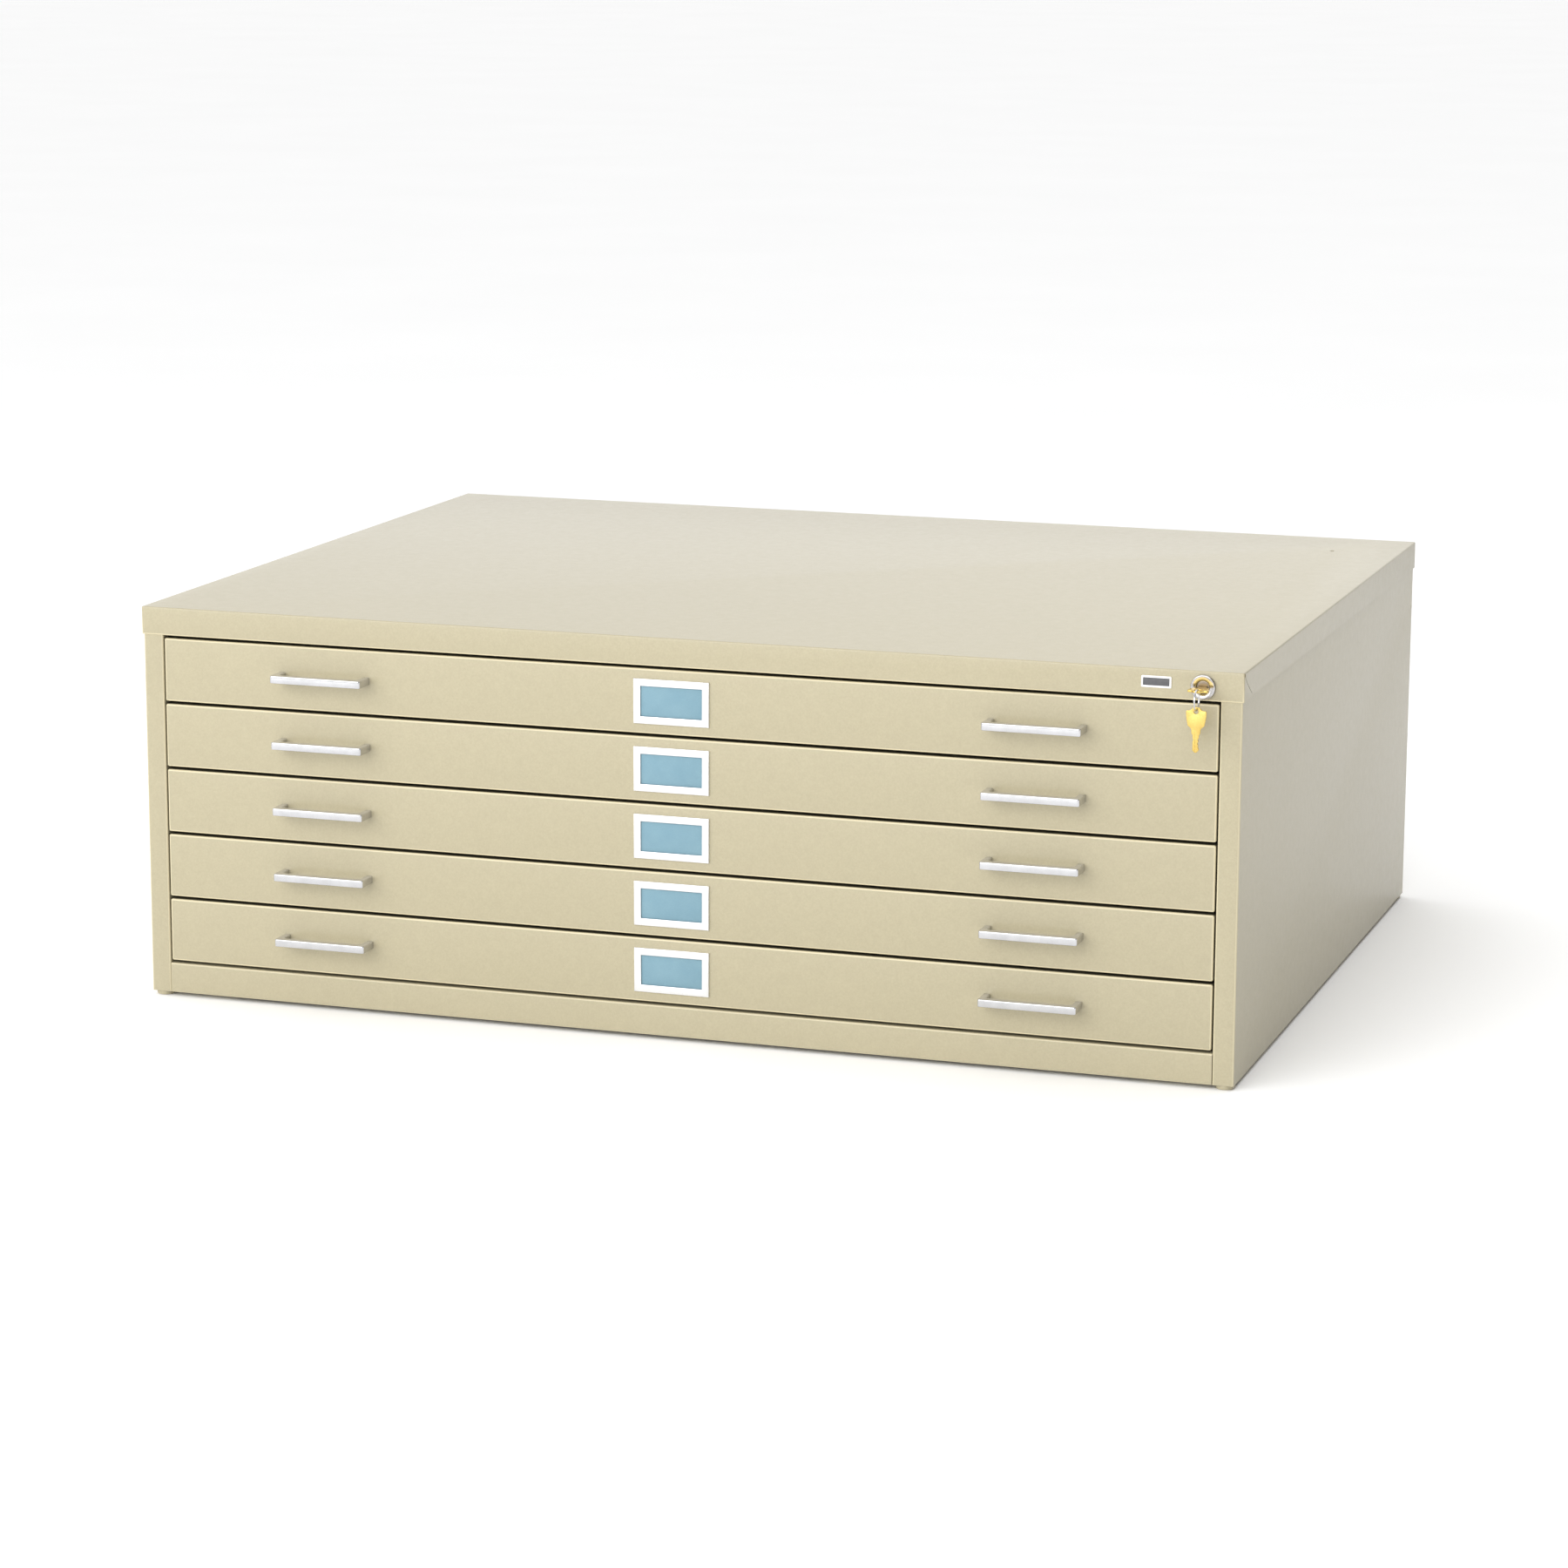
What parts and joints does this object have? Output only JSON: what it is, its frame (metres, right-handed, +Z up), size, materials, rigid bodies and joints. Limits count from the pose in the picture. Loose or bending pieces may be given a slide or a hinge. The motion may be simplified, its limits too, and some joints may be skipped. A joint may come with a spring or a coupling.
{
  "type": "flat file cabinet",
  "caption": "Low, wide steel flat file cabinet: shallow full-width drawers with bar pulls and label holders in a painted case on low feet, all secured by one keyed lock in the top fold.",
  "frame": {"origin": "on the floor, at the middle of the whole object's footprint, pulls and keys included", "axes": "+X to the right seen from the front, +Y to the back, +Z up; the drawers open towards -Y"},
  "size_m": [1.1778, 0.9376, 0.4191],
  "materials": {
    "cabinet_paint": "semi-gloss powder coat, tan",
    "zinc": "zinc-plated steel",
    "bright_chrome": "polished plating",
    "key_brass": "satin brass",
    "lock_steel": "plain steel",
    "nylon": "off-white nylon",
    "label_card": "pale blue card",
    "badge_plate": "blank satin plate"
  },
  "bodies": {
    "case": {"top_cap": "cabinet_paint", "left_side": "cabinet_paint", "right_side": "cabinet_paint", "back_panel": "cabinet_paint", "bottom_rail": "cabinet_paint", "feet": "cabinet_paint", "runners": "zinc", "lock_housing": "bright_chrome", "badge": "badge_plate"},
    "lock": {"lock_plug": "lock_steel", "lock_cam": "lock_steel", "inserted_key": "key_brass"},
    "lock_bar": {"lock_bar": "lock_steel"},
    "key_ring": {"key_ring": "bright_chrome"},
    "hanging_key": {"hanging_key": "key_brass"},
    "drawer_1": {"drawer_1_tray": "cabinet_paint", "drawer_1_front": "cabinet_paint", "drawer_1_pulls": "bright_chrome", "drawer_1_label_holder": "bright_chrome", "drawer_1_label_card": "label_card", "drawer_1_hood": "cabinet_paint"},
    "depressor_1": {"drawer_1_depressor": "cabinet_paint"},
    "rear_rollers_1": {"drawer_1_rear_rollers": "nylon"},
    "front_rollers_1": {"drawer_1_front_rollers": "nylon"},
    "drawer_2": {"drawer_2_tray": "cabinet_paint", "drawer_2_front": "cabinet_paint", "drawer_2_pulls": "bright_chrome", "drawer_2_label_holder": "bright_chrome", "drawer_2_label_card": "label_card", "drawer_2_hood": "cabinet_paint"},
    "depressor_2": {"drawer_2_depressor": "cabinet_paint"},
    "rear_rollers_2": {"drawer_2_rear_rollers": "nylon"},
    "front_rollers_2": {"drawer_2_front_rollers": "nylon"},
    "drawer_3": {"drawer_3_tray": "cabinet_paint", "drawer_3_front": "cabinet_paint", "drawer_3_pulls": "bright_chrome", "drawer_3_label_holder": "bright_chrome", "drawer_3_label_card": "label_card", "drawer_3_hood": "cabinet_paint"},
    "depressor_3": {"drawer_3_depressor": "cabinet_paint"},
    "rear_rollers_3": {"drawer_3_rear_rollers": "nylon"},
    "front_rollers_3": {"drawer_3_front_rollers": "nylon"},
    "drawer_4": {"drawer_4_tray": "cabinet_paint", "drawer_4_front": "cabinet_paint", "drawer_4_pulls": "bright_chrome", "drawer_4_label_holder": "bright_chrome", "drawer_4_label_card": "label_card", "drawer_4_hood": "cabinet_paint"},
    "depressor_4": {"drawer_4_depressor": "cabinet_paint"},
    "rear_rollers_4": {"drawer_4_rear_rollers": "nylon"},
    "front_rollers_4": {"drawer_4_front_rollers": "nylon"},
    "drawer_5": {"drawer_5_tray": "cabinet_paint", "drawer_5_front": "cabinet_paint", "drawer_5_pulls": "bright_chrome", "drawer_5_label_holder": "bright_chrome", "drawer_5_label_card": "label_card", "drawer_5_hood": "cabinet_paint"},
    "depressor_5": {"drawer_5_depressor": "cabinet_paint"},
    "rear_rollers_5": {"drawer_5_rear_rollers": "nylon"},
    "front_rollers_5": {"drawer_5_front_rollers": "nylon"}
  },
  "joints": [
    {"name": "drawer_1_slide", "type": "slide", "parent": "case", "child": "drawer_1", "axis": [0, -1, 0], "range_m": [0, 0.64], "deforming": ["key_ring", "hanging_key"]},
    {"name": "depressor_1_hinge", "type": "hinge", "parent": "drawer_1", "child": "depressor_1", "pos_m": [0, -0.40795, 0.3735], "axis": [1, 0, 0], "range_deg": [0, 28]},
    {"name": "rear_rollers_1_spin", "type": "hinge", "parent": "drawer_1", "child": "rear_rollers_1", "pos_m": [0, 0.37185, 0.367], "axis": [1, 0, 0], "range_deg": [-10, 4100]},
    {"name": "front_rollers_1_spin", "type": "hinge", "parent": "case", "child": "front_rollers_1", "pos_m": [0, -0.36965, 0.367], "axis": [1, 0, 0], "range_deg": [-10, 4100]},
    {"name": "drawer_2_slide", "type": "slide", "parent": "case", "child": "drawer_2", "axis": [0, -1, 0], "range_m": [0, 0.64]},
    {"name": "depressor_2_hinge", "type": "hinge", "parent": "drawer_2", "child": "depressor_2", "pos_m": [0, -0.40795, 0.3035], "axis": [1, 0, 0], "range_deg": [0, 28]},
    {"name": "rear_rollers_2_spin", "type": "hinge", "parent": "drawer_2", "child": "rear_rollers_2", "pos_m": [0, 0.37185, 0.297], "axis": [1, 0, 0], "range_deg": [-10, 4100]},
    {"name": "front_rollers_2_spin", "type": "hinge", "parent": "case", "child": "front_rollers_2", "pos_m": [0, -0.36965, 0.297], "axis": [1, 0, 0], "range_deg": [-10, 4100]},
    {"name": "drawer_3_slide", "type": "slide", "parent": "case", "child": "drawer_3", "axis": [0, -1, 0], "range_m": [0, 0.64]},
    {"name": "depressor_3_hinge", "type": "hinge", "parent": "drawer_3", "child": "depressor_3", "pos_m": [0, -0.40795, 0.2335], "axis": [1, 0, 0], "range_deg": [0, 28]},
    {"name": "rear_rollers_3_spin", "type": "hinge", "parent": "drawer_3", "child": "rear_rollers_3", "pos_m": [0, 0.37185, 0.227], "axis": [1, 0, 0], "range_deg": [-10, 4100]},
    {"name": "front_rollers_3_spin", "type": "hinge", "parent": "case", "child": "front_rollers_3", "pos_m": [0, -0.36965, 0.227], "axis": [1, 0, 0], "range_deg": [-10, 4100]},
    {"name": "drawer_4_slide", "type": "slide", "parent": "case", "child": "drawer_4", "axis": [0, -1, 0], "range_m": [0, 0.64]},
    {"name": "depressor_4_hinge", "type": "hinge", "parent": "drawer_4", "child": "depressor_4", "pos_m": [0, -0.40795, 0.1635], "axis": [1, 0, 0], "range_deg": [0, 28]},
    {"name": "rear_rollers_4_spin", "type": "hinge", "parent": "drawer_4", "child": "rear_rollers_4", "pos_m": [0, 0.37185, 0.157], "axis": [1, 0, 0], "range_deg": [-10, 4100]},
    {"name": "front_rollers_4_spin", "type": "hinge", "parent": "case", "child": "front_rollers_4", "pos_m": [0, -0.36965, 0.157], "axis": [1, 0, 0], "range_deg": [-10, 4100]},
    {"name": "drawer_5_slide", "type": "slide", "parent": "case", "child": "drawer_5", "axis": [0, -1, 0], "range_m": [0, 0.64]},
    {"name": "depressor_5_hinge", "type": "hinge", "parent": "drawer_5", "child": "depressor_5", "pos_m": [0, -0.40795, 0.0935], "axis": [1, 0, 0], "range_deg": [0, 28]},
    {"name": "rear_rollers_5_spin", "type": "hinge", "parent": "drawer_5", "child": "rear_rollers_5", "pos_m": [0, 0.37185, 0.087], "axis": [1, 0, 0], "range_deg": [-10, 4100]},
    {"name": "front_rollers_5_spin", "type": "hinge", "parent": "case", "child": "front_rollers_5", "pos_m": [0, -0.36965, 0.087], "axis": [1, 0, 0], "range_deg": [-10, 4100]},
    {"name": "lock_turn", "type": "hinge", "parent": "case", "child": "lock", "pos_m": [0.5483, -0.42965, 0.4033], "axis": [0, -1, 0], "range_deg": [0, 90]},
    {"name": "lock_bar_lift", "type": "slide", "parent": "case", "child": "lock_bar", "axis": [0, 0, 1], "range_m": [0, 0.012]},
    {"name": "key_ring_turn", "type": "hinge", "parent": "case", "child": "key_ring", "pos_m": [0.549, -0.45435, 0.3952], "axis": [0, 0, -1], "range_deg": [0, 90]},
    {"name": "hanging_key_lift", "type": "hinge", "parent": "key_ring", "child": "hanging_key", "pos_m": [0.5483, -0.45765, 0.3952], "axis": [-1, 0, 0], "range_deg": [0, 84]}
  ],
  "couplings": [
    {"joint": "rear_rollers_1_spin", "follows": "drawer_1_slide", "rad_per_m": 111.11},
    {"joint": "front_rollers_1_spin", "follows": "drawer_1_slide", "rad_per_m": 111.11},
    {"joint": "rear_rollers_2_spin", "follows": "drawer_2_slide", "rad_per_m": 111.11},
    {"joint": "front_rollers_2_spin", "follows": "drawer_2_slide", "rad_per_m": 111.11},
    {"joint": "rear_rollers_3_spin", "follows": "drawer_3_slide", "rad_per_m": 111.11},
    {"joint": "front_rollers_3_spin", "follows": "drawer_3_slide", "rad_per_m": 111.11},
    {"joint": "rear_rollers_4_spin", "follows": "drawer_4_slide", "rad_per_m": 111.11},
    {"joint": "front_rollers_4_spin", "follows": "drawer_4_slide", "rad_per_m": 111.11},
    {"joint": "rear_rollers_5_spin", "follows": "drawer_5_slide", "rad_per_m": 111.11},
    {"joint": "front_rollers_5_spin", "follows": "drawer_5_slide", "rad_per_m": 111.11},
    {"joint": "lock_turn", "follows": "lock_bar_lift", "rad_per_m": 130.9},
    {"joint": "hanging_key_lift", "follows": "drawer_1_slide", "rad_per_m": 2.29},
    {"joint": "key_ring_turn", "follows": "lock_bar_lift", "rad_per_m": 130.9}
  ]
}
